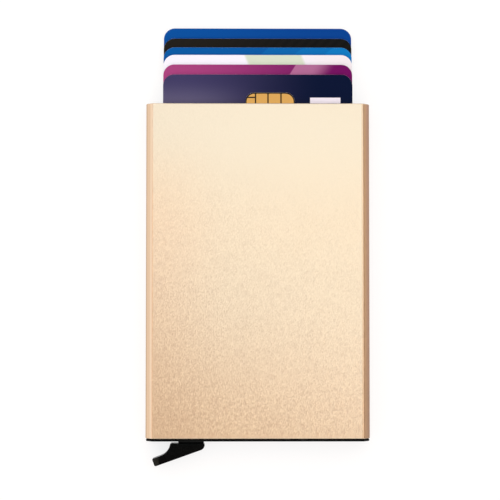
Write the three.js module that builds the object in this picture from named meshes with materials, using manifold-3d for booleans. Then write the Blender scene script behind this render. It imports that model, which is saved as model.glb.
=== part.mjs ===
// Card protector: a flat aluminium sleeve that holds six bank cards on edge-gripping rails, with a
// finger lever at the closed end whose stepped arm pushes the cards out of the mouth as a staircase.
//
// Frame, in millimetres: the case lies on its back. +X runs across it, +Y towards the mouth and +Z up
// out of the front face. The origin is the centre of the back face, so Z = 0 is the table.
// The cards are drawn standing out as the lever leaves them, with the lever back on its stop.

import * as THREE from "three";
import { mergeVertices } from "three/addons/utils/BufferGeometryUtils.js";
import Module from "manifold-3d";

const wasm = await Module();
wasm.setup();

// Bank card, the common ID-1 size
const CARD_WIDTH = 53.98;
const CARD_LENGTH = 85.6;
const CARD_THICKNESS = 0.76;
const CARD_CORNER = 3.18;
const CARD_COUNT = 6;
const CARD_PITCH = 0.88; // one card and the air to the next

// Sleeve extrusion
const SLEEVE_WIDTH = 63.5;
const SLEEVE_LENGTH = 95;
const SLEEVE_DEPTH = 8;
const SLEEVE_WALL = 0.9;
const SLEEVE_CHAMFER = 1.8; // bevel between each flat face and the sides
const CREASE_ROUND = 0.3; // fillet on the eight long creases
const END_BREAK = 0.2; // broken edge round both cut ends
const BASE_Y = -SLEEVE_LENGTH / 2;
const MOUTH_Y = SLEEVE_LENGTH / 2;
const MID_Z = SLEEVE_DEPTH / 2;

// Where the cards stand
const POCKET_INSET = 1; // a card pushed home sits this far inside the mouth
const CARD_FLOOR = MOUTH_Y - POCKET_INSET - CARD_LENGTH;
const EJECT_FRONT = 8; // the lever lifts the front card this far past the mouth
const EJECT_STEP = 2.7; // and each card behind it this much further
const CARD_SLACK = [0.9, 0.5, 0.5, 0.9, 0.7, 0.4]; // how far each card has run on, back to front

// End cap
const FLANGE_THICKNESS = 0.65;
const FLANGE_INSET = 0.12;
const FLANGE_SEAT = 0.05; // air between the flange and the sleeve's cut end
const FLANGE_Y = BASE_Y - FLANGE_SEAT - FLANGE_THICKNESS;
const PLUG_CLEARANCE = 0.12;
const PLUG_FLOOR = 1.2;
const FLOOR_Y = BASE_Y + PLUG_FLOOR;
const PLUG_INSET = SLEEVE_WALL + PLUG_CLEARANCE;
const POST_LEFT_X = -23; // inner face of the card stop beside the lever
const POST_RIGHT_X = 21.5;
const STOP_WALL = 1.1; // the stops are cored out to an even wall

// Lever and its pivot
const PIVOT_X = -18.2;
const PIVOT_Y = BASE_Y + 3.75;
const PIN_RADIUS = 1;
const PIN_RUNNING = 0.05;
const PIN_SIDES = 24;
const HUB_RADIUS = 3;
const HUB_THICKNESS = 2.8;
const BOSS_RADIUS = 6.4;
const BOSS_GAP = 0.3;
const HANDLE_THICKNESS = 4.2;
const SLOT_GAP = 0.3;
const LEVER_SWING = THREE.MathUtils.degToRad(40);
const ARM_TOP = 4.2; // top edge of the arm above the pivot, at rest
const ARM_ROOT_DEPTH = 6.2;
const ARM_TIP_DEPTH = 2.6;
const ARM_NOSE = 0.5; // round on the corner that meets a card
const ARM_START = BOSS_RADIUS + 0.5; // the full-thickness arm begins outside the bosses

// Outside of the lever at rest
const NECK_LEFT = -22.5;
const NECK_RIGHT = -15.3;
const SHOULDER_LEFT = -24.75;
const SHOULDER_Y = FLANGE_Y - 0.7; // flat top of the finger piece, below the flange
const WAIST = new THREE.Vector2(-27.5, BASE_Y - 4.9); // where the finger hollow meets the blade
const TIP_HIGH = new THREE.Vector2(-29.95, BASE_Y - 5.8);
const TIP_LOW = new THREE.Vector2(-29.15, BASE_Y - 7.95);
const HEEL_LOW = new THREE.Vector2(-15.1, BASE_Y - 2.95);
const HEEL_REACH = 6.9; // furthest point of the heel from the pivot
const CORNER_ROUND = 0.45;
const EDGE_ROUND = 0.25; // soft edges of the finger piece
const TIP_FACET = 1.5; // length of the thinned end of the blade
const TIP_FACET_SLOPE = THREE.MathUtils.degToRad(24);

// Side rails with the strips that grip the cards' long edges
const RAIL_X = CARD_WIDTH / 2 + 0.3;
const RAIL_TOP = MOUTH_Y - 1.2;
const RAIL_FOOT = CARD_FLOOR + 0.15;
const GROOVE_DEPTH = 1.85;
const GROOVE_HEIGHT = 4.4;
const FELT_FACE_X = CARD_WIDTH / 2 + 0.12;
const FELT_THICKNESS = 0.85;
const FOAM_THICKNESS = 0.95;
const STRIP_GAP = 0.06;
const STRIP_LENGTH = 64;
const STRIP_TOP = MOUTH_Y - 3;

// Felt liners glued inside the two flat walls, near the mouth
const LINER_WIDTH = 48;
const LINER_LENGTH = 14;
const LINER_THICKNESS = 0.3;
const LINER_TOP = MOUTH_Y - 2.2;

// Contact plate let into the front card
const CHIP_WIDTH = 14;
const CHIP_LENGTH = 12.2;
const CHIP_CORNER = 2.6;
const CHIP_OFF_CENTRE = 3.5;
const CHIP_FROM_EDGE = 5.2;
const CHIP_THICKNESS = 0.2;
const CHIP_GAP = 0.05;

const finish = (colour, roughness, metalness) =>
  new THREE.MeshStandardMaterial({ color: colour, roughness, metalness });

const FINISH = {
  goldAnodised: finish(0xe6c79c, 0.42, 1),
  blackNylon: finish(0x0c0d0c, 0.5, 0),
  steel: finish(0xb9bcc0, 0.3, 1),
  blackFoam: finish(0x1a1a1b, 0.95, 0),
  greyFelt: finish(0x2b2b2d, 1, 0),
  chipGold: finish(0xdca75f, 0.3, 1),
};
const CARD_COLOURS = [0x00489b, 0x262223, 0x055faa, 0xfbf7fb, 0x9c3d78, 0x2c2f55];

// Solids

// A closed geometry as a manifold solid.
function solid(geometry) {
  const bare = geometry.index ? geometry.toNonIndexed() : geometry.clone();
  bare.deleteAttribute("normal");
  bare.deleteAttribute("uv");
  const merged = mergeVertices(bare, 1e-4);
  return new wasm.Manifold(
    new wasm.Mesh({
      numProp: 3,
      vertProperties: merged.attributes.position.array,
      triVerts: new Uint32Array(merged.index.array),
    }),
  );
}

// A manifold solid as a geometry that a mesh can carry.
function geometryOf(body) {
  const { vertProperties, triVerts } = body.getMesh();
  const geometry = new THREE.BufferGeometry();
  geometry.setAttribute("position", new THREE.BufferAttribute(vertProperties, 3));
  geometry.setIndex(new THREE.BufferAttribute(triVerts, 1));
  geometry.computeVertexNormals();
  return geometry;
}

// A shape drawn in X and Y, extruded from one height to another.
function plate(shape, lowZ, highZ, curveSegments = 6) {
  const options = { depth: highZ - lowZ, bevelEnabled: false, curveSegments };
  return new THREE.ExtrudeGeometry(shape, options).translate(0, 0, lowZ);
}

// A section drawn in X and Z, extruded along Y. A break chamfers the edges at both ends.
function bar(section, lowY, highY, endBreak = 0, curveSegments = 3) {
  const options = {
    depth: highY - lowY - 2 * endBreak,
    bevelEnabled: endBreak > 0,
    bevelThickness: endBreak,
    bevelSize: endBreak,
    bevelOffset: -endBreak,
    bevelSegments: 1,
    curveSegments,
  };
  return new THREE.ExtrudeGeometry(section, options)
    .rotateX(Math.PI / 2)
    .translate(0, highY - endBreak, 0);
}

function block(lowX, highX, lowY, highY, lowZ, highZ) {
  return new THREE.BoxGeometry(highX - lowX, highY - lowY, highZ - lowZ).translate(
    (lowX + highX) / 2,
    (lowY + highY) / 2,
    (lowZ + highZ) / 2,
  );
}

// A round bar standing along Z at a point of the XY plane.
function post(radius, x, y, lowZ, highZ, sides = PIN_SIDES) {
  return new THREE.CylinderGeometry(radius, radius, highZ - lowZ, sides)
    .rotateX(Math.PI / 2)
    .translate(x, y, (lowZ + highZ) / 2);
}

// A polygon whose corners are rounded by the same amount.
function roundedPolygon(points, round, Kind = THREE.Shape) {
  const outline = new Kind();
  points.forEach((corner, i) => {
    const before = points.at(i - 1);
    const after = points[(i + 1) % points.length];
    const arrive = corner.clone().add(before.clone().sub(corner).setLength(round));
    const leave = corner.clone().add(after.clone().sub(corner).setLength(round));
    if (i === 0) outline.moveTo(arrive.x, arrive.y);
    else outline.lineTo(arrive.x, arrive.y);
    outline.quadraticCurveTo(corner.x, corner.y, leave.x, leave.y);
  });
  outline.closePath();
  return outline;
}

// A rectangle about a centre, with circular corners.
function roundedRectangle(centreX, centreY, width, length, radius) {
  const [left, right] = [centreX - width / 2, centreX + width / 2];
  const [low, high] = [centreY - length / 2, centreY + length / 2];
  const shape = new THREE.Shape();
  shape.moveTo(left + radius, low);
  shape.absarc(right - radius, low + radius, radius, -Math.PI / 2, 0);
  shape.absarc(right - radius, high - radius, radius, 0, Math.PI / 2);
  shape.absarc(left + radius, high - radius, radius, Math.PI / 2, Math.PI);
  shape.absarc(left + radius, low + radius, radius, Math.PI, 1.5 * Math.PI);
  return shape;
}

// The sleeve's eight-sided section in X and Z, moved inwards by an inset.
function sleeveSection(inset, Kind = THREE.Shape) {
  const side = SLEEVE_WIDTH / 2 - inset;
  const [low, high] = [inset, SLEEVE_DEPTH - inset];
  const chamfer = SLEEVE_CHAMFER - inset * (2 - Math.SQRT2);
  const corners = [
    [side, low + chamfer],
    [side, high - chamfer],
    [side - chamfer, high],
    [-side + chamfer, high],
    [-side, high - chamfer],
    [-side, low + chamfer],
    [-side + chamfer, low],
    [side - chamfer, low],
  ].map(([x, z]) => new THREE.Vector2(x, z));
  return roundedPolygon(corners, CREASE_ROUND, Kind);
}

// Pieces of the case

function makeSleeve() {
  const section = sleeveSection(0);
  section.holes.push(sleeveSection(SLEEVE_WALL, THREE.Path));
  return bar(section, BASE_Y, MOUTH_Y, END_BREAK);
}

// The moulded end: a thin flange over the sleeve's cut end, a floor with the lever's slot, a card stop
// in each corner, and two bosses that carry the pivot pin on either side of the lever's hub.
function makeEndCap() {
  const plug = sleeveSection(PLUG_INSET);
  const flange = bar(sleeveSection(FLANGE_INSET), FLANGE_Y, BASE_Y - FLANGE_SEAT, END_BREAK);
  const floor = bar(plug, FLANGE_Y + FLANGE_THICKNESS / 2, FLOOR_Y);
  const filled = solid(bar(plug, BASE_Y, CARD_FLOOR));
  const halfSleeve = SLEEVE_WIDTH / 2;
  const stops = [
    block(-halfSleeve, POST_LEFT_X, BASE_Y, CARD_FLOOR, 0, SLEEVE_DEPTH),
    block(POST_RIGHT_X, halfSleeve, BASE_Y, CARD_FLOOR, 0, SLEEVE_DEPTH),
  ];
  const coreLow = PLUG_INSET + STOP_WALL;
  const coreTop = CARD_FLOOR - STOP_WALL;
  const coreSide = halfSleeve - PLUG_INSET - STOP_WALL;
  const cores = [
    block(-coreSide, POST_LEFT_X + 1, FLOOR_Y, coreTop, coreLow, SLEEVE_DEPTH - coreLow),
    block(POST_RIGHT_X - 1, coreSide, FLOOR_Y, coreTop, coreLow, SLEEVE_DEPTH - coreLow),
  ];
  const boss = solid(post(BOSS_RADIUS, PIVOT_X, PIVOT_Y, 0, SLEEVE_DEPTH, 2 * PIN_SIDES));
  const bossWidth = solid(
    block(POST_LEFT_X - 1, PIVOT_X + BOSS_RADIUS, BASE_Y, CARD_FLOOR - BOSS_GAP, 0, SLEEVE_DEPTH),
  );

  const hubLow = MID_Z - HUB_THICKNESS / 2 - BOSS_GAP;
  const hubHigh = MID_Z + HUB_THICKNESS / 2 + BOSS_GAP;
  const hubRoom = block(
    POST_LEFT_X, PIVOT_X + BOSS_RADIUS + 1, FLOOR_Y - PLUG_FLOOR, CARD_FLOOR + 1, hubLow, hubHigh,
  );
  const slotHalf = HANDLE_THICKNESS / 2 + SLOT_GAP;
  const slotLeft = NECK_LEFT - SLOT_GAP;
  const slotRight = PIVOT_X + HEEL_REACH + SLOT_GAP;
  const slot = block(
    slotLeft, slotRight, FLANGE_Y - 1, PIVOT_Y - PIN_RADIUS - 0.6, MID_Z - slotHalf, MID_Z + slotHalf,
  );
  const pinHole = post(PIN_RADIUS + PIN_RUNNING, PIVOT_X, PIVOT_Y, 0, SLEEVE_DEPTH);

  return geometryOf(
    solid(flange)
      .add(solid(floor))
      .add(stops.map(solid).reduce((a, b) => a.add(b)).intersect(filled))
      .add(boss.intersect(bossWidth).intersect(filled))
      .subtract([hubRoom, slot, pinHole, ...cores].map(solid).reduce((a, b) => a.add(b))),
  );
}

// Steel dowel with turned chamfers, trapped between the sleeve's two walls.
function makePivotPin() {
  const half = SLEEVE_DEPTH / 2 - SLEEVE_WALL - PLUG_CLEARANCE;
  const turned = 0.25;
  const profile = [
    [0, -half],
    [PIN_RADIUS - turned, -half],
    [PIN_RADIUS, -half + turned],
    [PIN_RADIUS, half - turned],
    [PIN_RADIUS - turned, half],
    [0, half],
  ].map(([radius, height]) => new THREE.Vector2(radius, height));
  return new THREE.LatheGeometry(profile, PIN_SIDES).rotateX(Math.PI / 2);
}

// Lever

// The point a given distance from one point towards another.
const towards = (from, to, distance) => from.clone().add(to.clone().sub(from).setLength(distance));

// The finger piece: a flat shoulder, a hollow for the fingertip, and a blade that slopes away to a
// thinned tip.
function fingerPiece() {
  const shape = new THREE.Shape();
  shape.moveTo(NECK_RIGHT, SHOULDER_Y);
  shape.lineTo(SHOULDER_LEFT + CORNER_ROUND, SHOULDER_Y);
  shape.quadraticCurveTo(SHOULDER_LEFT, SHOULDER_Y, SHOULDER_LEFT - 0.1, SHOULDER_Y - CORNER_ROUND);
  shape.bezierCurveTo(
    SHOULDER_LEFT - 0.4, WAIST.y + 1.7, SHOULDER_LEFT - 1.3, WAIST.y + 0.5, WAIST.x, WAIST.y,
  );
  shape.lineTo(...towards(TIP_HIGH, WAIST, CORNER_ROUND).toArray());
  shape.quadraticCurveTo(...TIP_HIGH.toArray(), ...towards(TIP_HIGH, TIP_LOW, CORNER_ROUND).toArray());
  shape.lineTo(...towards(TIP_LOW, TIP_HIGH, CORNER_ROUND).toArray());
  shape.quadraticCurveTo(...TIP_LOW.toArray(), ...towards(TIP_LOW, HEEL_LOW, CORNER_ROUND).toArray());
  shape.lineTo(...towards(HEEL_LOW, TIP_LOW, 2 * CORNER_ROUND).toArray());
  shape.bezierCurveTo(
    HEEL_LOW.x + 0.15, HEEL_LOW.y + 0.2, HEEL_LOW.x + 0.3, SHOULDER_Y - 0.4, NECK_RIGHT, SHOULDER_Y,
  );
  const options = {
    depth: HANDLE_THICKNESS - 2 * EDGE_ROUND,
    bevelThickness: EDGE_ROUND,
    bevelSize: EDGE_ROUND,
    bevelOffset: -EDGE_ROUND,
    bevelSegments: 2,
    curveSegments: 6,
  };
  const lowZ = MID_Z - HANDLE_THICKNESS / 2 + EDGE_ROUND;
  const blade = solid(new THREE.ExtrudeGeometry(shape, options).translate(0, 0, lowZ));
  const away = WAIST.clone().sub(TIP_HIGH).angle();
  const facets = [1, -1].map((face) =>
    new THREE.BoxGeometry(6, 8, 2)
      .translate(0, 0, face)
      .rotateY(face * -TIP_FACET_SLOPE)
      .translate(TIP_FACET, 0, face * (HANDLE_THICKNESS / 2))
      .rotateZ(away)
      .translate(TIP_HIGH.x, TIP_HIGH.y, MID_Z),
  );
  return facets.reduce((body, facet) => body.subtract(solid(facet)), blade);
}

// The neck that joins the finger piece to the hub through the slot.
function neck() {
  const shape = new THREE.Shape();
  shape.moveTo(NECK_LEFT, SHOULDER_Y - 0.6);
  shape.lineTo(NECK_RIGHT, SHOULDER_Y - 0.6);
  shape.lineTo(NECK_RIGHT, BASE_Y);
  shape.lineTo(PIVOT_X + HUB_RADIUS, PIVOT_Y);
  shape.lineTo(PIVOT_X - HUB_RADIUS, PIVOT_Y);
  shape.quadraticCurveTo(NECK_LEFT + 0.1, BASE_Y + 1.6, NECK_LEFT, BASE_Y);
  return solid(plate(shape, MID_Z - HUB_THICKNESS / 2, MID_Z + HUB_THICKNESS / 2));
}

// How far the arm must reach from the pivot so that, fully swung, it leaves a card at its height.
function armReach(card) {
  const lift = POCKET_INSET + EJECT_FRONT + (CARD_COUNT - 1 - card) * EJECT_STEP;
  const rise = CARD_FLOOR + lift - PIVOT_Y;
  const noseRise = (ARM_TOP - ARM_NOSE) * Math.cos(LEVER_SWING) + ARM_NOSE;
  return (rise - noseRise) / Math.sin(LEVER_SWING) + ARM_NOSE;
}

// Side view of the arm: level on top, tapering below from the hub to a rounded nose.
function armShape(reach) {
  const [top, tip] = [PIVOT_Y + ARM_TOP, PIVOT_X + reach];
  const shape = new THREE.Shape();
  shape.moveTo(PIVOT_X, top);
  shape.lineTo(PIVOT_X, top - ARM_ROOT_DEPTH);
  shape.lineTo(PIVOT_X + HUB_RADIUS, top - ARM_ROOT_DEPTH);
  shape.lineTo(tip - ARM_NOSE, top - ARM_TIP_DEPTH);
  shape.quadraticCurveTo(tip, top - ARM_TIP_DEPTH, tip, top - ARM_TIP_DEPTH + ARM_NOSE);
  shape.lineTo(tip, top - ARM_NOSE);
  shape.absarc(tip - ARM_NOSE, top - ARM_NOSE, ARM_NOSE, 0, Math.PI / 2);
  return shape;
}

// One moulding: finger piece, neck and hub, and an arm with a tread for each card. Treads are as thick
// as the card pitch and get shorter towards the front, so the swung arm is a staircase.
function makeLever() {
  const armLow = MID_Z - (CARD_COUNT / 2) * CARD_PITCH;
  const treads = Array.from({ length: CARD_COUNT }, (_, card) =>
    solid(plate(armShape(armReach(card)), armLow, armLow + (card + 1) * CARD_PITCH)),
  ).reduce((a, b) => a.add(b));
  const hubSpan = [MID_Z - HUB_THICKNESS / 2, MID_Z + HUB_THICKNESS / 2];
  const root = solid(plate(armShape(ARM_START + 2), ...hubSpan));
  const clearOfBosses = solid(post(ARM_START, PIVOT_X, PIVOT_Y, -1, SLEEVE_DEPTH + 1, 2 * PIN_SIDES));
  const hub = solid(post(HUB_RADIUS, PIVOT_X, PIVOT_Y, ...hubSpan));
  const bore = solid(post(PIN_RADIUS + PIN_RUNNING, PIVOT_X, PIVOT_Y, 0, SLEEVE_DEPTH));
  return geometryOf(
    fingerPiece()
      .add(neck())
      .add(hub)
      .add(root)
      .add(treads.subtract(clearOfBosses))
      .subtract(bore),
  );
}

// Rails, strips and liners

// A guide rail that fills the side of the sleeve, with a groove for its strips and a lead-in at the mouth.
function makeRail(side) {
  const fill = solid(bar(sleeveSection(PLUG_INSET), RAIL_FOOT, RAIL_TOP));
  const outside = SLEEVE_WIDTH / 2;
  const strip = solid(block(RAIL_X, outside, RAIL_FOOT, RAIL_TOP, 0, SLEEVE_DEPTH));
  const groove = solid(
    block(
      RAIL_X - 1, RAIL_X + GROOVE_DEPTH, RAIL_FOOT - 1, RAIL_TOP + 1,
      MID_Z - GROOVE_HEIGHT / 2, MID_Z + GROOVE_HEIGHT / 2,
    ),
  );
  const leadIn = new THREE.BoxGeometry(2, 2, SLEEVE_DEPTH)
    .rotateZ(Math.PI / 4)
    .translate(RAIL_X - 0.5, RAIL_TOP + 0.5, MID_Z);
  const rail = geometryOf(fill.intersect(strip).subtract(groove).subtract(solid(leadIn)));
  return side < 0 ? rail.rotateY(Math.PI).translate(0, 0, SLEEVE_DEPTH) : rail;
}

// A strip in the rail's groove: foam against the rail, then felt with a crowned face for the card edges.
function makeStrip(side, nearX, thickness, crown) {
  const half = GROOVE_HEIGHT / 2 - STRIP_GAP;
  const section = new THREE.Shape();
  section.moveTo(nearX + thickness, MID_Z - half);
  section.lineTo(nearX + thickness, MID_Z + half);
  section.lineTo(nearX + crown, MID_Z + half);
  section.quadraticCurveTo(nearX - crown, MID_Z, nearX + crown, MID_Z - half);
  const strip = bar(section, STRIP_TOP - STRIP_LENGTH, STRIP_TOP);
  return side < 0 ? strip.rotateY(Math.PI).translate(0, 0, SLEEVE_DEPTH) : strip;
}

function makeLiner(lowZ) {
  const shape = roundedRectangle(0, LINER_TOP - LINER_LENGTH / 2, LINER_WIDTH, LINER_LENGTH, 2);
  return plate(shape, lowZ, lowZ + LINER_THICKNESS);
}

// Cards

// The top edge of a card as the lever has left it, counted from the back of the pack.
const cardTop = (card) =>
  MOUTH_Y + EJECT_FRONT + (CARD_COUNT - 1 - card) * EJECT_STEP + CARD_SLACK[card];
const cardLow = (card) =>
  MID_Z + (card - (CARD_COUNT - 1) / 2) * CARD_PITCH - CARD_THICKNESS / 2;

function makeCard(card) {
  const centreY = cardTop(card) - CARD_LENGTH / 2;
  const shape = roundedRectangle(0, centreY, CARD_WIDTH, CARD_LENGTH, CARD_CORNER);
  return plate(shape, cardLow(card), cardLow(card) + CARD_THICKNESS);
}

const FRONT_CARD = CARD_COUNT - 1;
const chipShape = (grow) =>
  roundedRectangle(
    CHIP_OFF_CENTRE, cardTop(FRONT_CARD) - CHIP_FROM_EDGE - CHIP_LENGTH / 2,
    CHIP_WIDTH + 2 * grow, CHIP_LENGTH + 2 * grow, CHIP_CORNER + grow,
  );

// The front card has a milled pocket for its contact plate.
function makeChipCard() {
  const face = cardLow(FRONT_CARD) + CARD_THICKNESS;
  const pocket = plate(chipShape(CHIP_GAP), face - CHIP_THICKNESS - CHIP_GAP, face + 1);
  return geometryOf(solid(makeCard(FRONT_CARD)).subtract(solid(pocket)));
}

function makeChip() {
  const face = cardLow(FRONT_CARD) + CARD_THICKNESS;
  return plate(chipShape(0), face - CHIP_THICKNESS, face);
}

// Assembly

const protector = new THREE.Group();
function add(name, geometry, material, parent = protector) {
  const mesh = new THREE.Mesh(geometry, material);
  mesh.name = name;
  parent.add(mesh);
  return mesh;
}

add("sleeve", makeSleeve(), FINISH.goldAnodised);
add("end_cap", makeEndCap(), FINISH.blackNylon);
add("pivot_pin", makePivotPin(), FINISH.steel).position.set(PIVOT_X, PIVOT_Y, MID_Z);
add("ejector_lever", makeLever(), FINISH.blackNylon);

const FOAM_X = RAIL_X + GROOVE_DEPTH - STRIP_GAP - FOAM_THICKNESS;
for (const [label, side] of [["left", -1], ["right", 1]]) {
  add(`guide_rail_${label}`, makeRail(side), FINISH.blackNylon);
  add(`foam_strip_${label}`, makeStrip(side, FOAM_X, FOAM_THICKNESS, 0), FINISH.blackFoam);
  add(`felt_strip_${label}`, makeStrip(side, FELT_FACE_X, FELT_THICKNESS, 0.12), FINISH.greyFelt);
}
add("felt_liner_back", makeLiner(SLEEVE_WALL + STRIP_GAP), FINISH.greyFelt);
add(
  "felt_liner_front",
  makeLiner(SLEEVE_DEPTH - SLEEVE_WALL - STRIP_GAP - LINER_THICKNESS),
  FINISH.greyFelt,
);

for (let card = 0; card < CARD_COUNT; card++) {
  const geometry = card === FRONT_CARD ? makeChipCard() : makeCard(card);
  add(`card_${card + 1}`, geometry, finish(CARD_COLOURS[card], 0.35, 0));
}
add("card_chip", makeChip(), FINISH.chipGold);

export default protector;
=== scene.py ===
# %% [markdown]
# # A card protector in champagne gold
# This lesson dresses a small metal card case for a studio photograph. The case is a flat aluminium
# sleeve, open at one end, with a black moulded cap and a finger lever at the other. Pulling the
# lever swings a stepped arm under the bank cards and they come out as a staircase.
#
# The exact solids come in first and stay where they are. Everything made here is in metres, in the
# same frame: X across the case, Y towards the mouth, Z up out of the front face.

# %% Load the solids
import math

import bmesh
import bpy
from mathutils import Euler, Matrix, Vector, noise


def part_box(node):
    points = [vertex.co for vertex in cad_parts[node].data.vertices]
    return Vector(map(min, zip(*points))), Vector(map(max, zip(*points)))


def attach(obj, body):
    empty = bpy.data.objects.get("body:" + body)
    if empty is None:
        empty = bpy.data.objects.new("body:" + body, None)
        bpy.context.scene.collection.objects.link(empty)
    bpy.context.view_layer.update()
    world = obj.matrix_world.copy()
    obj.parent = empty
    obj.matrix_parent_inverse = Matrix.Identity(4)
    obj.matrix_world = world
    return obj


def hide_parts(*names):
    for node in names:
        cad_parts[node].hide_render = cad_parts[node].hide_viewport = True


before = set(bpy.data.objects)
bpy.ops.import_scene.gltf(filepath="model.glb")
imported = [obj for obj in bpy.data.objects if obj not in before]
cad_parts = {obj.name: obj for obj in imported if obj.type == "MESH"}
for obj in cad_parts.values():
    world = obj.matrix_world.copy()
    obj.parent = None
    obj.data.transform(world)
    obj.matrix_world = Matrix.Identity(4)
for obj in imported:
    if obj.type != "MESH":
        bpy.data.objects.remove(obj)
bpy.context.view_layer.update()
MM = 0.001
print("solids:", sorted(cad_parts))

# %% [markdown]
# ## Camera
# The photograph looks almost straight down on the case with a long lens. The long sides of the case
# spread by less than one part in a hundred from the mouth to the cap, and the front card is a little
# wider than the back card. Those two facts set the distance, and the rest is a matter of turning the
# camera until the corners fall where the photograph has them.

# %% Place the camera
CAMERA_PLACE_MM = (-6.466, -10.628, 438.887)
CAMERA_TURN_DEGREES = (2.1814, -0.5645, 0.022)
SENSOR_MM, LENS_MM = 36, 109.76
camera = bpy.data.objects.new("camera", bpy.data.cameras.new("camera"))
bpy.context.scene.collection.objects.link(camera)
camera.location = Vector(CAMERA_PLACE_MM) * MM
camera.rotation_euler = Euler([math.radians(angle) for angle in CAMERA_TURN_DEGREES])
camera.data.sensor_width = SENSOR_MM
camera.data.lens = LENS_MM
camera.data.clip_start = 10 * MM
bpy.context.scene.camera = camera
bpy.context.scene.view_settings.view_transform = "Standard"
print("camera at", tuple(round(v, 4) for v in camera.location), "lens", camera.data.lens)

# %% [markdown]
# ## Writing shader maths as Python
# Shader nodes are easier to read as arithmetic. The class below wraps one output socket. Adding or
# multiplying two of them drops a Math node into the tree, and `node` makes any other node: its
# settings are set first, then the values or links of its sockets.

# %% A socket that can be used in an expression
class Wire:
    def __init__(self, tree, socket=None):
        self.tree = tree
        self.socket = socket

    def node(self, kind, settings=None, inputs=None, out=0):
        made = self.tree.nodes.new(kind)
        for name, value in (settings or {}).items():
            setattr(made, name, value)
        for name, value in (inputs or {}).items():
            if isinstance(value, Wire):
                self.tree.links.new(value.socket, made.inputs[name])
            else:
                made.inputs[name].default_value = value
        return Wire(self.tree, made.outputs[out]) if made.outputs else None

    def maths(self, operation, *values):
        return self.node("ShaderNodeMath", {"operation": operation}, dict(enumerate(values)))

    def __add__(self, other):
        return self.maths("ADD", self, other)

    def __sub__(self, other):
        return self.maths("SUBTRACT", self, other)

    def __mul__(self, other):
        return self.maths("MULTIPLY", self, other)

    def __truediv__(self, other):
        return self.maths("DIVIDE", self, other)

    def __radd__(self, other):
        return self.maths("ADD", other, self)

    def __rsub__(self, other):
        return self.maths("SUBTRACT", other, self)

    def __rmul__(self, other):
        return self.maths("MULTIPLY", other, self)

    def __neg__(self):
        return self.maths("MULTIPLY", self, -1)

    def __abs__(self):
        return self.maths("ABSOLUTE", self)

    def sine(self):
        return self.maths("SINE", self)

    def root(self):
        return self.maths("SQRT", self)

    def step(self, low, high):
        """0 at low, 1 at high, smooth between them."""
        inputs = {"Value": self, "From Min": low, "From Max": high}
        return self.node("ShaderNodeMapRange", {"interpolation_type": "SMOOTHSTEP"}, inputs)

    def between(self, low, high, soft):
        """1 from low to high, falling to 0 over a soft border inside them."""
        return self.step(low, low + soft) * self.step(high, high - soft)

    def mix(self, first, second):
        """A colour that goes from first to second as this value goes from 0 to 1."""
        inputs = {0: self, 6: first, 7: second}
        return self.node("ShaderNodeMix", {"data_type": "RGBA"}, inputs, out=2)

    def parts(self):
        """The three numbers of a vector."""
        made = self.node("ShaderNodeSeparateXYZ", inputs={"Vector": self}).socket.node
        return [Wire(self.tree, socket) for socket in made.outputs]

    def grain(self, size, detail=2.0):
        """Cloudy noise whose lumps are about this size, from 0 to 1. This wire is the place."""
        inputs = {"Vector": self, "Scale": 1 / size, "Detail": detail}
        return self.node("ShaderNodeTexNoise", inputs=inputs)


# %% [markdown]
# Colours below are written as they look on screen. Shaders work in linear light, so one function
# turns the first into the second.

# %% Colours
def colour(red, green, blue):
    """A colour as it looks on screen, 0 to 255, in the linear light that shaders use."""
    screen = [channel / 255 for channel in (red, green, blue)]
    linear = [c / 12.92 if c <= 0.04045 else ((c + 0.055) / 1.055) ** 2.4 for c in screen]
    return (*linear, 1.0)


print("mid grey on screen is", round(colour(128, 128, 128)[0], 3), "in linear light")

# %% [markdown]
# ## Studio floor
# The photograph is cut out on white, so the floor has to look white and still take the shadow of the
# case. More light would whiten it too, but it would also burn out the metal. So the floor answers
# two kinds of ray in two ways. To the eye, and to metal that mirrors it, it is partly its own light
# and partly lit, which adds up to white. To light that bounces about the room it is plain pale paint.

# %% Starting a material
def new_material(name):
    """An empty material, and a wire to make its nodes with."""
    material = bpy.data.materials.new(name)
    material.use_nodes = True
    material.node_tree.nodes.clear()
    return material, Wire(material.node_tree)


# %% Floor paint
def grey(level):
    """A grey of this level in linear light."""
    return (level, level, level, 1.0)


PAINT, OWN_LIGHT, LIT = 0.75, 0.78, 0.25
floor_material, wire = new_material("studio_floor")
camera_ray, glossy_ray, clear_ray = [
    wire.node("ShaderNodeLightPath", out=f"Is {kind} Ray")
    for kind in ("Camera", "Glossy", "Transmission")
]
seen = wire.maths("MAXIMUM", wire.maths("MAXIMUM", camera_ray, glossy_ray), clear_ray)
plain = wire.node("ShaderNodeBsdfDiffuse", inputs={"Color": grey(PAINT)})
glow = wire.node("ShaderNodeEmission", inputs={"Color": grey(1.0), "Strength": OWN_LIGHT})
lit = wire.node("ShaderNodeBsdfDiffuse", inputs={"Color": grey(LIT)})
white = wire.node("ShaderNodeAddShader", inputs={0: glow, 1: lit})
surface = wire.node("ShaderNodeMixShader", inputs={0: seen, 1: plain, 2: white})
wire.node("ShaderNodeOutputMaterial", inputs={"Surface": surface})
print("floor paint has", len(floor_material.node_tree.nodes), "nodes")

# %% Floor
FLOOR_SIZE, FLOOR_SQUARES, FLOOR_Z = 8, 8, -0.05 * MM
bpy.ops.mesh.primitive_grid_add(
    x_subdivisions=FLOOR_SQUARES,
    y_subdivisions=FLOOR_SQUARES,
    size=FLOOR_SIZE,
    location=(0, 0, FLOOR_Z),
)
floor = bpy.context.object
floor.name = "studio_floor"
floor.data.materials.append(floor_material)
print("floor", tuple(floor.dimensions))

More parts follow.
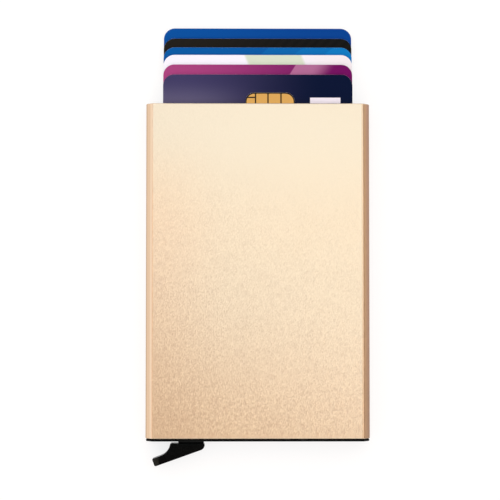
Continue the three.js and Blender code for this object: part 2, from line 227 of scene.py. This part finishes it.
# %% [markdown]
# ## Walls
# Metal has almost no colour of its own to show: it shows the room. So the room is drawn with care,
# as a world whose light depends on its direction. The walls are pale, with a brighter ring below the
# ceiling. The ceiling is dim, so that black stays black, and a little warm, which the metal shows
# where the soft box ends. A dark patch on the right makes the right bevel darker than the left one.

# %% Light of the walls
WALL, LEFT_EXTRA, DARK_PATCH, RING, CEILING = 0.9, 0.08, 0.85, 0.6, 0.15
WALL_TINT, CEILING_TINT = (1.03, 1.0, 0.98, 1.0), (1.24, 0.925, 0.81, 1.0)
world = bpy.data.worlds.new("studio_walls")
bpy.context.scene.world = world
world.use_nodes = True
world.node_tree.nodes.clear()
wire = Wire(world.node_tree)
across, _, up = wire.node("ShaderNodeTexCoord", out="Generated").parts()
walls = WALL - DARK_PATCH * across.step(0.62, 0.92) + LEFT_EXTRA * across.step(-0.5, -0.9)
ring = RING * up.step(0.5, 0.68) * (1 - abs(across).step(0.5, 0.85))
ceiling = up.step(0.8, 0.93)
level = (walls + ring) * (1 - ceiling) + CEILING * ceiling
tint = up.step(0.64, 0.84).mix(WALL_TINT, CEILING_TINT)
light = wire.node("ShaderNodeBackground", inputs={"Color": tint, "Strength": level})
wire.node("ShaderNodeOutputWorld", inputs={"Surface": light})
print("walls have", len(world.node_tree.nodes), "nodes")

# %% [markdown]
# ## Soft box
# A broad, slightly cool soft box hangs over the mouth end, turned a little, and stops short of the
# cap end. Its mirror image is why the face is palest at the top of the picture and falls off towards
# the lower left. An area lamp is the box itself. Its power comes from how bright its cloth looks and
# from its size, so the size can change without the look.

# %% Hang the soft box
BOX_SIZE, BOX_PLACE, BOX_TURN_DEGREES = (0.52, 0.3), (0.068, 0.071, 0.56), -27
BOX_BRIGHTNESS, BOX_COLOUR = 1.52, (0.82, 1.018, 1.068)
lamp = bpy.data.lights.new("soft_box", "AREA")
lamp.shape = "RECTANGLE"
lamp.size, lamp.size_y = BOX_SIZE
lamp.color = BOX_COLOUR
lamp.energy = BOX_BRIGHTNESS * math.pi * lamp.size * lamp.size_y
soft_box = bpy.data.objects.new("soft_box", lamp)
bpy.context.scene.collection.objects.link(soft_box)
soft_box.location = BOX_PLACE
soft_box.rotation_euler = (0, 0, math.radians(BOX_TURN_DEGREES))
print("soft box of", round(lamp.energy, 2), "W")

# %% [markdown]
# ## Carrying the solids over
# The solids already have the right form, so each visible one is copied into a piece that stands for
# it. A copy can be shaded smoothly over its small rounds, and weighted normals keep the large flats
# flat, which matters on metal. An edit on the solid itself is out of the question: the mechanism is
# tested on it.

# %% A mesh from a solid
WELD, FLAT_DEGREES = 0.002 * MM, 0.5


def tidy_copy(node):
    """The solid's surface as an editable mesh, with the seams of its triangles dissolved."""
    edit = bmesh.new()
    edit.from_mesh(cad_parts[node].data)
    bmesh.ops.remove_doubles(edit, verts=edit.verts, dist=WELD)
    flat = {"angle_limit": math.radians(FLAT_DEGREES), "delimit": {"NORMAL"}}
    bmesh.ops.dissolve_limit(edit, verts=edit.verts, edges=edit.edges, **flat)
    return edit


def mesh_from(edit, name):
    """Turns an editable mesh into a finished one."""
    mesh = bpy.data.meshes.new(name)
    edit.to_mesh(mesh)
    edit.free()
    return mesh


# %% A piece from a mesh
FLAT_WEIGHT = 80


def add_piece(name, mesh, material, body, node):
    """Puts a mesh in the scene as a piece that rides on a body and stands for a solid."""
    piece = bpy.data.objects.new(name, mesh)
    bpy.context.scene.collection.objects.link(piece)
    piece.data.materials.append(material)
    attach(piece, body)
    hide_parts(node)
    return piece


def smooth(piece, angle):
    """Smooth shading over turns below an angle, sharp over the rest, with flats that stay flat."""
    piece.data.polygons.foreach_set("use_smooth", [True] * len(piece.data.polygons))
    piece.data.set_sharp_from_angle(angle=math.radians(angle))
    weighted = piece.modifiers.new("flat_flats", "WEIGHTED_NORMAL")
    weighted.keep_sharp = True
    weighted.weight = FLAT_WEIGHT


def dress(node, material, body, angle=32):
    """A smooth copy of a solid in its finish."""
    mesh = mesh_from(tidy_copy(node), node)
    piece = add_piece(f"{node}_piece", mesh, material, body, node)
    smooth(piece, angle)
    print(piece.name, len(piece.data.polygons), "faces")


# %% [markdown]
# ## A finish
# Every finish is one Principled shader. What is the same all over goes straight on the shader's
# sockets, and what changes from place to place is linked by `feed`. Places are measured in the
# piece's own space, so a print or a grain stays put when the piece slides or turns.

# %% Starting a finish
def finish_for(name, **constants):
    """Returns a material, the place on its piece, and a function that links its sockets."""
    material, wire = new_material(name)
    surface = wire.node("ShaderNodeBsdfPrincipled")
    shader = surface.socket.node
    for socket, value in constants.items():
        shader.inputs[socket.replace("_", " ")].default_value = value
    wire.node("ShaderNodeOutputMaterial", inputs={"Surface": surface})
    place = wire.node("ShaderNodeTexCoord", out="Object")

    def feed(**links):
        for socket, value in links.items():
            wire.tree.links.new(value.socket, shader.inputs[socket.replace("_", " ")])

    return material, place, feed


def facing(place):
    """How far the surface faces along X, Y and Z, each from -1 to 1."""
    return place.node("ShaderNodeTexCoord", out="Normal").parts()


def cells(place, size, out="Distance"):
    """Small cells of about this size, as the distance from their middles or a colour for each."""
    inputs = {"Vector": place, "Scale": 1 / size}
    return place.node("ShaderNodeTexVoronoi", inputs=inputs, out=out)


def dents(height, depth, strength):
    """A bump from a height of 0 to 1 that stands for a depth in metres."""
    inputs = {"Height": height, "Distance": depth, "Strength": strength}
    return height.node("ShaderNodeBump", inputs=inputs)


# %% [markdown]
# ## Sleeve
# The sleeve is an aluminium extrusion, blasted with fine beads and then anodised in champagne gold.
# Blasting leaves tiny dents that scatter the light and show as a sandy grain where the light falls
# off. A bump from noise could stand for them, but it rolls like leather. The blasted metal is closer
# to countless small mirrors, so each small cell of the surface leans its own way. The cells are
# drawn out along the case, because the lines of the extrusion still show through the blasting.

# %% A surface of tiny facets
DRAWN_OUT = (1.0, 0.55, 1.0)


def facets(place, size, lean):
    """A normal that leans its own way on each small cell, by up to half of lean along each axis."""

    def vectors(operation, inputs):
        return place.node("ShaderNodeVectorMath", {"operation": operation}, inputs)

    drawn = vectors("MULTIPLY", {0: place, 1: DRAWN_OUT})
    either_way = vectors("SUBTRACT", {0: cells(drawn, size, "Color"), 1: (0.5, 0.5, 0.5)})
    tilt = vectors("SCALE", {0: either_way, "Scale": lean})
    upright = place.node("ShaderNodeNewGeometry", out="Normal")
    return vectors("NORMALIZE", {0: vectors("ADD", {0: upright, 1: tilt})})


# %% [markdown]
# The finish isn't the same all over. Beads glance off the bevels and sides, so the dents there are
# shallow. A fine darker line along the outer edge of each bevel is painted shade. The cut ends are
# turned after blasting and have no grain, and their greyer tone is partly their own and partly
# painted shade. The face is painted paler towards the mouth (a painted highlight), deeper along the
# left (painted shade) and a little redder towards the cap (a painted warm reflection). Each of these
# places is a mask from 0 to 1, made from the place on the sleeve or from the way its surface faces.
# Painted maps would do as well, but masks follow the size of the solid.

# %% Places on the sleeve
CHAMFER, CREASE_SHIFT = 1.8 * MM, 0.3 * MM
gold, place, feed = finish_for("gold_anodised", Metallic=1.0, Coat_Roughness=0.26, Coat_IOR=2.25)
x, y, _ = place.parts()
side, _, front = facing(place)
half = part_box("sleeve")[1]
flat_edge = half.x - CHAMFER
turned_end = abs(y).step(half.y - 0.24 * MM, half.y - 0.14 * MM)
blasted = 1 - turned_end
crease = abs(abs(x + CREASE_SHIFT) - flat_edge).step(0.4 * MM, 0.1 * MM)
flank = abs(side).step(0.3, 0.6)
bevel = flank * abs(front).step(0.2, 0.5)
right_bevel = bevel * side.step(-0.3, 0.3)
# Painted shade: a fine darker line along the outer edge of each bevel.
edge_shade_line = bevel * abs(x).step(half.x - 0.5 * MM, half.x - 0.2 * MM)
outwards = abs(x).step(flat_edge, half.x)
right_half = x.step(-half.x / 2, half.x / 2)
cap_end = y.step(0, -half.y)
mouth_end = y.step(0.2 * half.y, 0.9 * half.y)
# Where the face gets painted shade: along the left, away from the mouth.
painted_shade_left = x.step(-0.2 * half.x, -0.95 * half.x) * (1 - mouth_end)
print("sleeve", round(2 * half.x / MM, 2), "x", round(2 * half.y / MM, 2), "mm")

# %% [markdown]
# The tones follow from those places. The bevels and sides are a deeper gold than the faces. The
# right bevel is the deepest, browner towards its outer side and towards the cap: painted shade. The
# left creases get a pale line, a painted highlight, and the right crease gets painted shade where it
# rolls softly into its bevel.

# %% Tones of the faces
PIT, CLOUD, DRIFT = 0.36 * MM, 0.5 * MM, 9 * MM
sand = 0.7 * cells(place, PIT) + 0.4 * place.grain(CLOUD, 5.0)
even_tone = place.grain(DRIFT).mix(colour(226, 194, 155), colour(230, 199, 161))
# Painted light on the face: redder towards the cap is a painted warm reflection, paler towards the
# mouth a painted highlight, deeper along the left painted shade.
cap_warm_reflection_tone = cap_end.mix(even_tone, colour(235, 197, 155))
mouth_highlight_tone = mouth_end.mix(cap_warm_reflection_tone, colour(224, 199, 167))
face_tone_with_painted_light = painted_shade_left.mix(mouth_highlight_tone, colour(230, 191, 149))
print("face tones ready")

# %% Tones of the bevels, creases and cut ends
# Painted shade on the right bevel: deeper gold near the crease, browner towards its outer side, and
# darker towards the cap.
shade_near_crease = cap_end.mix(colour(233, 185, 131), colour(225, 176, 127))
shade_near_side = cap_end.mix(colour(196, 146, 123), colour(182, 138, 109))
flank_tone = right_bevel.mix(colour(228, 195, 160), outwards.mix(shade_near_crease, shade_near_side))
# The bevels with the painted shade line along their outer edges.
edge_shaded_tone = (0.7 * edge_shade_line).mix(flank_tone, colour(178, 146, 118))
body_tone = flank.mix(face_tone_with_painted_light, edge_shaded_tone)
# Painted shade along the right crease, where the face rolls into the bevel.
shaded_tone = (0.5 * crease * right_half).mix(body_tone, colour(212, 162, 100))
# A faint pale speckle from the grain, and a painted highlight along the left creases.
speckle_and_crease_highlight = 0.03 * sand.step(0.5, 0.72) + 0.45 * crease * (1 - right_half)
speckle_and_highlight_tone = speckle_and_crease_highlight.mix(shaded_tone, colour(250, 230, 202))
# The turned ends have no grain; their greyer tone is partly their own and partly painted shade along
# the cut edge.
gold_tone = turned_end.mix(speckle_and_highlight_tone, colour(212, 190, 162))
print("gold has", len(gold.node_tree.nodes), "nodes so far")

# %% [markdown]
# The dye of an anodised part sits in a clear oxide skin, so its highlights are paler than the metal.
# A paler metal would lose the gold, so a coat does it, thinner on the bevels and sides.

# %% Anodised gold
FACET, LEAN, FLANK_EASE, MOUTH_EASE = 0.22 * MM, 0.205, 0.13, 0.6
lean = (LEAN - FLANK_EASE * flank) * blasted * (1 - MOUTH_EASE * mouth_end)
feed(
    Base_Color=gold_tone,
    Roughness=(0.4 + 0.03 * sand) * blasted + 0.24 * turned_end,
    Coat_Weight=1 - 0.6 * flank,
    Normal=facets(place, FACET, lean),
)
dress("sleeve", gold, "case", angle=28)

# %% [markdown]
# ## Cap, lever and rails
# These are black nylon mouldings. The mould is spark-eroded, so the skin is a fine satin texture,
# with a slight orange-peel unevenness where the plastic cooled. Both are far too fine to model, and
# a bump with a matching roughness gives them. The thin end of the lever, where the fingertip
# lands, is painted a lighter grey: a painted highlight where its end facet catches the light.

# %% Black nylon
TIP_ACROSS, TIP_ALONG = (27.6 * MM, 28.4 * MM), (51 * MM, 52 * MM)
nylon, place, feed = finish_for("black_nylon", Specular_IOR_Level=0.08)
x, y, _ = place.parts()
fine = place.grain(0.32 * MM, 4.0)
peel = place.grain(2.2 * MM)
skin = 0.7 * fine + 0.3 * peel
# Painted highlight: the lever's tip facet is painted a lighter grey.
painted_tip_highlight = (-x).step(*TIP_ACROSS) * (-y).step(*TIP_ALONG)
black = skin.step(0.38, 0.62).mix(colour(1, 1, 1), colour(8, 8, 7))
feed(
    Base_Color=(painted_tip_highlight * (0.5 + 0.4 * fine)).mix(black, colour(34, 35, 31)),
    Roughness=0.16 + 0.12 * fine + 0.06 * peel,
    Normal=dents(skin, 0.05 * MM, 0.5),
)
for node in ("end_cap", "guide_rail_left", "guide_rail_right"):
    dress(node, nylon, "case")
dress("ejector_lever", nylon, "lever", angle=40)

# %% [markdown]
# ## Pivot pin
# A ground steel dowel, hidden between the walls of the cap. A copy would add nothing to it, so the
# solid stays and only gets its finish: fine rings from grinding, as noise along the pin's length.

# %% Ground steel
RINGS_PER_METRE = 9000.0
steel, place, feed = finish_for("steel", Metallic=1.0)
height = place.parts()[2]
one_way = {"noise_dimensions": "1D"}
rings = height.node("ShaderNodeTexNoise", one_way, {"W": height, "Scale": RINGS_PER_METRE})
feed(
    Base_Color=rings.mix(colour(176, 178, 182), colour(206, 208, 211)),
    Roughness=0.22 + 0.16 * rings,
)
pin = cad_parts["pivot_pin"]
pin.data.materials.clear()
pin.data.materials.append(steel)
print("pin finished")

# %% [markdown]
# ## Felt and foam
# Felt strips grip the edges of the cards, foam behind them pushes, and felt liners keep the outer
# cards off the metal. Felt is a mat of fibres with no weave, so its surface is lumpy at every scale
# and it glows a little at the rim. Hair could make it, but thousands of hairs are heavy and nobody
# sees them in here. A thin slab cut into small squares and pushed about by noise reads as felt even
# up close. Foam is the same idea with rounder cells. The strips have a crowned face, because the
# foam pushes hardest in the middle.

# %% A slab cut into squares
def cut_slab(low, high, pitch):
    """A closed box between two corners whose sides are cut into squares of about a pitch."""
    edit = bmesh.new()
    bmesh.ops.create_cube(edit, size=1)
    size = high - low
    for corner in edit.verts:
        corner.co = (low + high) / 2 + Vector([corner.co[axis] * size[axis] for axis in range(3)])
    for axis in range(3):
        cuts = max(1, int(size[axis] / pitch))
        normal = Vector([1 if other == axis else 0 for other in range(3)])
        for cut in range(1, cuts):
            everything = list(edit.verts) + list(edit.edges) + list(edit.faces)
            point = low + normal * size[axis] * cut / cuts
            bmesh.ops.bisect_plane(edit, geom=everything, plane_co=point, plane_no=normal)
    return edit


# %% A lumpy pad in the space of a solid
LUMP_ROOM, LUMP_REACH = 0.6, 0.5
FADE, FINER, LAYERS = 1.0, 2.0, 3


def pad_mesh(node, pitch, lump, height, corner=0.0, crown=0.0):
    """Felt or foam that fills a solid's box, with round corners in plan or a crowned inner face."""
    low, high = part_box(node)
    room = Vector((height, height, height)) * LUMP_ROOM
    edit = cut_slab(low + room, high - room, pitch)
    middle, reach = (low + high) / 2, (high - low) / 2 - room
    inwards = -1 if middle.x > 0 else 1
    for point in edit.verts:
        away = point.co - middle
        past = Vector((abs(away.x) - reach.x + corner, abs(away.y) - reach.y + corner))
        if min(past) > 0 and past.length > corner:
            past -= past * (corner / past.length)
            point.co.x -= math.copysign(past.x, away.x)
            point.co.y -= math.copysign(past.y, away.y)
        if away.x * inwards > 0:
            point.co.x -= inwards * crown * (away.z / reach.z) ** 2
    edit.normal_update()
    for point in edit.verts:
        bulge = noise.fractal(point.co / lump, FADE, FINER, LAYERS)
        point.co += point.normal * height * LUMP_REACH * bulge
    return mesh_from(edit, node)


# %% Felt finish
felt, place, feed = finish_for(
    "grey_felt", Sheen_Weight=0.5, Sheen_Roughness=0.5, Specular_IOR_Level=0.2
)
fibre = place.grain(0.25 * MM, 6.0)
tuft = 0.6 * fibre + 0.4 * place.grain(1.4 * MM, 3.0)
feed(
    Base_Color=tuft.mix(colour(30, 30, 32), colour(66, 66, 69)),
    Roughness=0.9 + 0.1 * fibre,
    Normal=dents(fibre, 0.08 * MM, 0.9),
)
print("felt finish ready")

# %% Foam finish
FOAM_CELL = 0.3125 * MM
foam, place, feed = finish_for("black_foam", Specular_IOR_Level=0.25)
bubble = cells(place, FOAM_CELL)
feed(
    Base_Color=bubble.step(0.0, 0.7).mix(colour(34, 34, 35), colour(16, 16, 16)),
    Roughness=0.8 + 0.15 * bubble,
    Normal=dents(bubble, 0.05 * MM, 0.8),
)
print("foam finish ready")

# %% Strips along the cards' edges
SOFT_ANGLE = 60
for hand in ("left", "right"):
    felt_node, foam_node = f"felt_strip_{hand}", f"foam_strip_{hand}"
    felt_mesh = pad_mesh(felt_node, 0.45 * MM, 0.9 * MM, 0.1 * MM, crown=0.12 * MM)
    foam_mesh = pad_mesh(foam_node, 0.6 * MM, 0.7 * MM, 0.06 * MM)
    grip = add_piece(f"felt_grip_{hand}", felt_mesh, felt, "case", felt_node)
    backing = add_piece(f"foam_backing_{hand}", foam_mesh, foam, "case", foam_node)
    for piece in (grip, backing):
        smooth(piece, SOFT_ANGLE)
        print(piece.name, len(piece.data.polygons), "faces")

# %% Liners of the walls
for wall in ("back", "front"):
    liner_node = f"felt_liner_{wall}"
    liner_mesh = pad_mesh(liner_node, 0.6 * MM, 1.2 * MM, 0.05 * MM, corner=2 * MM)
    lining = add_piece(f"felt_lining_{wall}", liner_mesh, felt, "case", liner_node)
    smooth(lining, SOFT_ANGLE)
    print(lining.name, len(lining.data.polygons), "faces")

# %% [markdown]
# ## Cards
# A bank card is two printed sheets laminated over a white core. The print lies under a clear film,
# so its surface is smooth and glossy while the die-cut edge shows the pale core. Each card gets its
# own plain print: flat colours, gradients and soft shapes, with no words. A picture could be laid on
# each card, but drawn shapes stay sharp at any distance and need no file.
#
# Every print is a function of two measures on the card: how far across it is, from 0 to 1, and how
# far below the top edge, in millimetres.

# %% Card finish
CORE = colour(232, 230, 226)
STRIPE = colour(34, 30, 28)


def card_finish(name, node, artwork):
    """Print under clear film, a dark stripe on the back, and the core on the cut edges."""
    material, place, feed = finish_for(name, Specular_IOR_Level=0.05)
    x, y, _ = place.parts()
    low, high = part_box(node)
    across = (x - low.x) / (high.x - low.x)
    below = (high.y - y) / MM
    outwards = facing(place)[2]
    stripe = across.between(0.69, 0.94, 0.01) * outwards.step(-0.4, -0.6)
    edge = abs(outwards).step(0.75, 0.45)
    dots = place.grain(0.2 * MM)
    feed(
        Base_Color=edge.mix(stripe.mix(artwork(across, below), STRIPE), CORE),
        Roughness=0.3 + 0.06 * dots + 0.25 * edge,
        Normal=dents(dots, 0.004 * MM, 0.25),
    )
    return material


# %% Measuring on a card
CARD_WIDTH_MM = 53.98


def distance(across, below, centre_across, centre_below):
    """Millimetres from a point of the card."""
    aside = (across - centre_across) * CARD_WIDTH_MM
    down = below - centre_below
    return (aside * aside + down * down).root()


# %% Prints of the three cards behind
TWILL_WIDTH_MM, TWILL_PER_MM = 54, 2.2


def blue_print(across, below):
    """A pale moon low on a blue ground."""
    ground = across.step(0.0, 1.0).mix(colour(0, 78, 159), colour(0, 64, 146))
    moon = distance(across, below, 0.9, 62).step(34, 33.6)
    return (0.35 * moon).mix(ground, colour(40, 128, 200))


def black_print(across, below):
    """A faint twill on black."""
    twill = ((across * TWILL_WIDTH_MM + below) * TWILL_PER_MM).sine()
    ground = across.step(0.0, 0.8).mix(colour(30, 26, 20), colour(12, 12, 12))
    return (0.25 + 0.25 * twill).mix(ground, colour(26, 24, 22))


def azure_print(across, below):
    """Three swells, each lighter than the one before."""
    swell = across + 0.07 * (below * 0.35).sine()
    shade = (swell.step(0.56, 0.564) + swell.step(0.74, 0.744) + swell.step(0.9, 0.904)) / 3
    return shade.mix(colour(0, 88, 165), colour(7, 120, 194))


# %% Prints of the three cards in front
def white_print(across, below):
    """A leaning green band on white."""
    band = (across - 0.008 * below).between(0.42, 0.74, 0.02)
    paper = across.step(0.5, 1.0).mix(colour(240, 242, 255), colour(236, 232, 239))
    return band.mix(paper, colour(210, 222, 204))


def magenta_print(across, below):
    """A pale fan on magenta."""
    ground = across.step(0.0, 1.0).mix(colour(165, 66, 127), colour(110, 4, 94))
    lean = across + 0.012 * below
    fan = lean.step(0.7, 0.705) * lean.step(0.92, 0.8)
    return (0.45 * fan).mix(ground, colour(214, 150, 190))


def navy_print(across, below):
    """Ripples on a navy sky, with a plain white panel."""
    ground = across.step(0.05, 0.85).mix(colour(62, 58, 99), colour(0, 12, 48))
    dawn = below.step(1.0, 10.0) * across.step(0.55, 0.1)
    sky = (0.75 * dawn).mix(ground, colour(104, 100, 130))
    rings = (distance(across, below, 0.2, 96) * 1.3).sine().step(0.8, 0.98)
    rippled = (0.16 * rings * below.step(18, 44)).mix(sky, colour(168, 172, 214))
    panel = across.between(0.774, 0.938, 0.004) * below.between(6.5, 12.2, 0.2)
    return panel.mix(rippled, colour(241, 238, 251))


# %% [markdown]
# The card itself is the solid with its edges broken by a small bevel, as a die leaves them. The
# bevel needs no modifier: it is cut once, only where two faces meet at a steep angle.

# %% The six cards, back to front
PRINTS = [
    ("card_blue", blue_print),
    ("card_black", black_print),
    ("card_azure", azure_print),
    ("card_white", white_print),
    ("card_magenta", magenta_print),
    ("card_navy", navy_print),
]
EDGE_BREAK, STEEP = 0.05 * MM, math.radians(60)
for number, (slot, artwork) in enumerate(PRINTS, start=1):
    node = f"card_{number}"
    edit = tidy_copy(node)
    rim = [edge for edge in edit.edges if edge.calc_face_angle(0) > STEEP]
    bmesh.ops.bevel(edit, geom=rim, offset=EDGE_BREAK, segments=2, profile=0.5, affect="EDGES")
    finish = card_finish(slot, node, artwork)
    card = add_piece(f"{node}_piece", mesh_from(edit, node), finish, f"{node}_body", node)
    smooth(card, 40)
    print(card.name, len(card.data.polygons), "faces")

# %% [markdown]
# ## Contact plate
# The gold plate on the front card is one thin foil on dark resin tape, cut into contacts round a
# middle field. The cuts could be painted lines, but here they are real gaps: each contact is its own
# low island on the tape, and the tape shows as a fine dark outline that catches the light as the
# real one does. The outer contacts follow the plate's round corners, and the two on the left are cut
# once more.

# %% Outlines
def rounded_outline(left, right, low, high, radii, turns=6):
    """Points round a rectangle from its lower left corner, with a radius for each corner."""
    points = []
    corners = [(left, low, 180), (right, low, 270), (right, high, 0), (left, high, 90)]
    for (corner_x, corner_y, start), radius in zip(corners, radii):
        centre_x = corner_x + (radius if corner_x == left else -radius)
        centre_y = corner_y + (radius if corner_y == low else -radius)
        for turn in range(turns + 1):
            angle = math.radians(start + 90 * turn / turns)
            aside, up = radius * math.cos(angle), radius * math.sin(angle)
            points.append((centre_x + aside, centre_y + up))
    return points


def cut_outline(outline, level, above):
    """The part of an outline above or below a level."""
    kept = []
    for (x0, y0), (x1, y1) in zip(outline[-1:] + outline[:-1], outline):
        if (y0 > level) != (y1 > level):
            kept.append((x0 + (x1 - x0) * (level - y0) / (y1 - y0), level))
        if (y1 > level) == above:
            kept.append((x1, y1))
    return kept


# %% Where the cuts lie
CORNER, MARGIN, CUT, NOTCH, FOIL = 2.6 * MM, 0.28 * MM, 0.38 * MM, 0.2 * MM, 0.05 * MM
COLUMN_CUTS, ROW_CUTS, SIDE_CUT = (2.85 * MM, 6.4 * MM, 10.1 * MM), (4.1 * MM, 8.1 * MM), 1.35 * MM
low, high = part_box("card_chip")
outside = MARGIN - CUT / 2
columns = [low.x + outside, *[low.x + cut for cut in COLUMN_CUTS], high.x - outside]
rows = [low.y + outside, *[low.y + cut for cut in ROW_CUTS], high.y - outside]
ROUND_CORNERS = {(0, 0): 0, (3, 0): 1, (3, 2): 2, (0, 2): 3}
EXTRA_CUTS = {(0, 0): low.y + SIDE_CUT, (0, 2): high.y - SIDE_CUT}
print("contact plate", round((high.x - low.x) / MM, 2), "x", round((high.y - low.y) / MM, 2), "mm")


# %% Outlines of the contacts
def contact(left, right, foot, head, radii):
    """The outline of a contact between the middles of the cuts round it."""
    gap = CUT / 2
    return rounded_outline(left + gap, right - gap, foot + gap, head - gap, radii)


def outer_contact(column, row):
    """The outline of a contact in an outer row, or its two parts where it is cut once more."""
    radii = [NOTCH] * 4
    if (column, row) in ROUND_CORNERS:
        radii[ROUND_CORNERS[column, row]] = CORNER - MARGIN
    whole = contact(columns[column], columns[column + 1], rows[row], rows[row + 1], radii)
    if (column, row) not in EXTRA_CUTS:
        return [whole]
    level = EXTRA_CUTS[column, row]
    return [cut_outline(whole, level - CUT / 2, False), cut_outline(whole, level + CUT / 2, True)]


outlines = [part for row in (0, 2) for column in range(4) for part in outer_contact(column, row)]
outlines.append(contact(columns[0], columns[-1], rows[1], rows[2], [NOTCH] * 4))
print(len(outlines), "contacts")

# %% Contact finishes
chip_gold, place, feed = finish_for("chip_gold", Metallic=1.0)
brushed = place.grain(0.15 * MM, 4.0)
feed(
    Base_Color=brushed.mix(colour(190, 133, 66), colour(211, 156, 88)),
    Roughness=0.26 + 0.14 * brushed,
    Normal=dents(brushed, 0.006 * MM, 0.4),
)
chip_base, place, feed = finish_for("chip_base", Specular_IOR_Level=0.2)
resin = place.grain(0.3 * MM)
feed(
    Base_Color=resin.mix(colour(20, 12, 6), colour(34, 22, 12)),
    Roughness=0.6 + 0.1 * resin,
)
print("contact finishes ready")


# %% Contacts on their tape
def add_slab(edit, outline, low, high, tag=0):
    """A closed slab with an outline, whose faces carry a material number."""
    bottom, top = [[edit.verts.new((x, y, level)) for x, y in outline] for level in (low, high)]
    faces = [edit.faces.new(top), edit.faces.new(bottom[::-1])]
    for i in range(len(outline)):
        faces.append(edit.faces.new((bottom[i - 1], bottom[i], top[i], top[i - 1])))
    for face in faces:
        face.material_index = tag


edit = bmesh.new()
tape = rounded_outline(low.x, high.x, low.y, high.y, [CORNER] * 4)
tape_top = high.z - FOIL
add_slab(edit, tape, low.z, tape_top, tag=1)
for outline in outlines:
    add_slab(edit, outline, tape_top, high.z)
bmesh.ops.recalc_face_normals(edit, faces=edit.faces)
mesh = mesh_from(edit, "contact_plate")
chip = add_piece("contact_plate", mesh, chip_gold, "card_6_body", "card_chip")
chip.data.materials.append(chip_base)
print("contact plate", len(chip.data.polygons), "faces")
